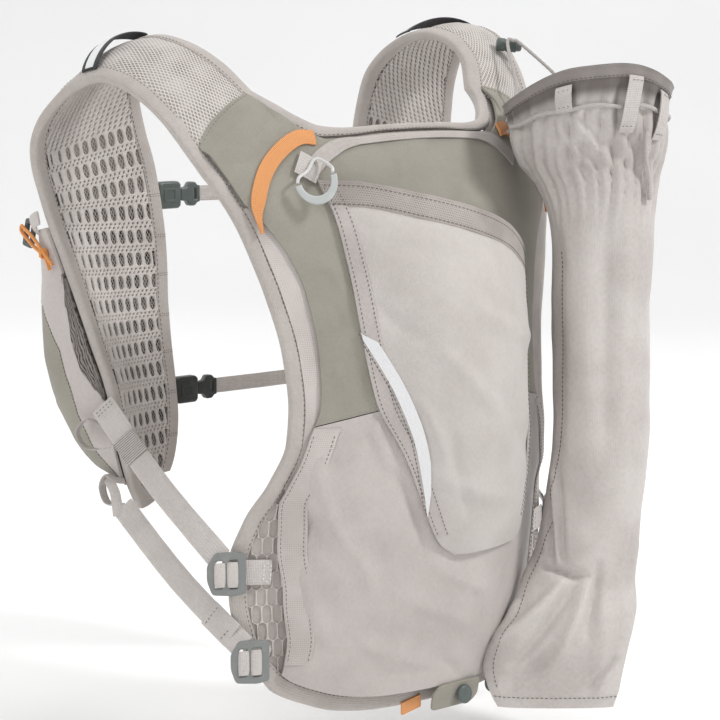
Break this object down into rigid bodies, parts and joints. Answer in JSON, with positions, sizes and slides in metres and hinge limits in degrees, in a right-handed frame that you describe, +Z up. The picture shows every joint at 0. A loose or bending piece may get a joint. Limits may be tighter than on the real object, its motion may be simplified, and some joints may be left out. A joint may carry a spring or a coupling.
{
  "type": "running hydration vest",
  "caption": "Worn-shape running hydration vest with mesh shoulder straps, open back pocket, pole quiver on the rear right, front flask pockets, side straps and sternum buckles.",
  "frame": {"origin": "midway between the shoulder straps at the height of their tops, where the vest sits on the shoulders", "axes": "X points to the wearer's left, Y to the wearer's back, Z up; the wearer faces -Y"},
  "size_m": [0.358, 0.2906, 0.4356],
  "materials": {
    "light_cloth": "plain woven cloth, matt",
    "mesh": "open spacer mesh, matt",
    "binding": "stretch binding tape, matt",
    "olive_cloth": "plain woven cloth, matt",
    "orange_tape": "narrow woven tape",
    "webbing": "ribbed webbing, matt",
    "cord": "braided elastic cord",
    "orange_cord": "braided elastic cord",
    "white_cord": "braided cord",
    "loop_tape": "black tape with a light middle stripe",
    "grey_plastic": "moulded, satin",
    "pale_plastic": "moulded, satin",
    "slate_plastic": "moulded, satin",
    "dark_plastic": "moulded, satin"
  },
  "bodies": {
    "root": {"armhole_binding_left": "binding", "armhole_binding_right": "binding", "back_liner": "mesh", "back_pocket": "light_cloth", "flask_clip_left": "slate_plastic", "flask_clip_right": "slate_plastic", "flask_pocket_left": "olive_cloth", "flask_pocket_right": "olive_cloth", "flask_pull_cord_left": "orange_cord", "flask_pull_cord_right": "orange_cord", "flask_strap_left": "webbing", "flask_strap_right": "webbing", "hem_binding": "binding", "ladder_lock_lower_left": "grey_plastic", "ladder_lock_lower_right": "grey_plastic", "ladder_lock_upper_left": "grey_plastic", "ladder_lock_upper_right": "grey_plastic", "lower_panel": "light_cloth", "neck_band": "binding", "neck_binding": "binding", "orange_hem_tab": "orange_tape", "orange_webbing_left": "orange_tape", "orange_webbing_right": "orange_tape", "quiver": "light_cloth", "quiver_cord": "cord", "quiver_hanging_cord": "cord", "quiver_loop_1": "light_cloth", "quiver_loop_2": "light_cloth", "quiver_loop_3": "light_cloth", "reflective_loop_left": "loop_tape", "reflective_loop_right": "loop_tape", "shoulder_cord": "cord", "shoulder_cord_lock": "slate_plastic", "shoulder_strap_left": "mesh", "shoulder_strap_right": "mesh", "side_loop_lower_left": "webbing", "side_loop_lower_right": "webbing", "side_loop_upper_left": "webbing", "side_loop_upper_right": "webbing", "side_strap_lower_left": "webbing", "side_strap_lower_right": "webbing", "side_strap_upper_left": "webbing", "side_strap_upper_right": "webbing", "snap_button_1": "slate_plastic", "snap_button_2": "slate_plastic", "snap_flap": "olive_cloth", "sternum_lower_plug": "dark_plastic", "sternum_lower_socket": "dark_plastic", "sternum_lower_webbing": "webbing", "sternum_upper_plug": "slate_plastic", "sternum_upper_socket": "slate_plastic", "sternum_upper_webbing": "webbing", "wing_anchor_lower_left": "webbing", "wing_anchor_lower_right": "webbing", "wing_anchor_upper_left": "webbing", "wing_anchor_upper_right": "webbing", "yoke_panel": "olive_cloth", "zip_pull": "pale_plastic", "zip_pull_cord": "white_cord", "zip_pull_tab": "light_cloth"}
  },
  "joints": []
}
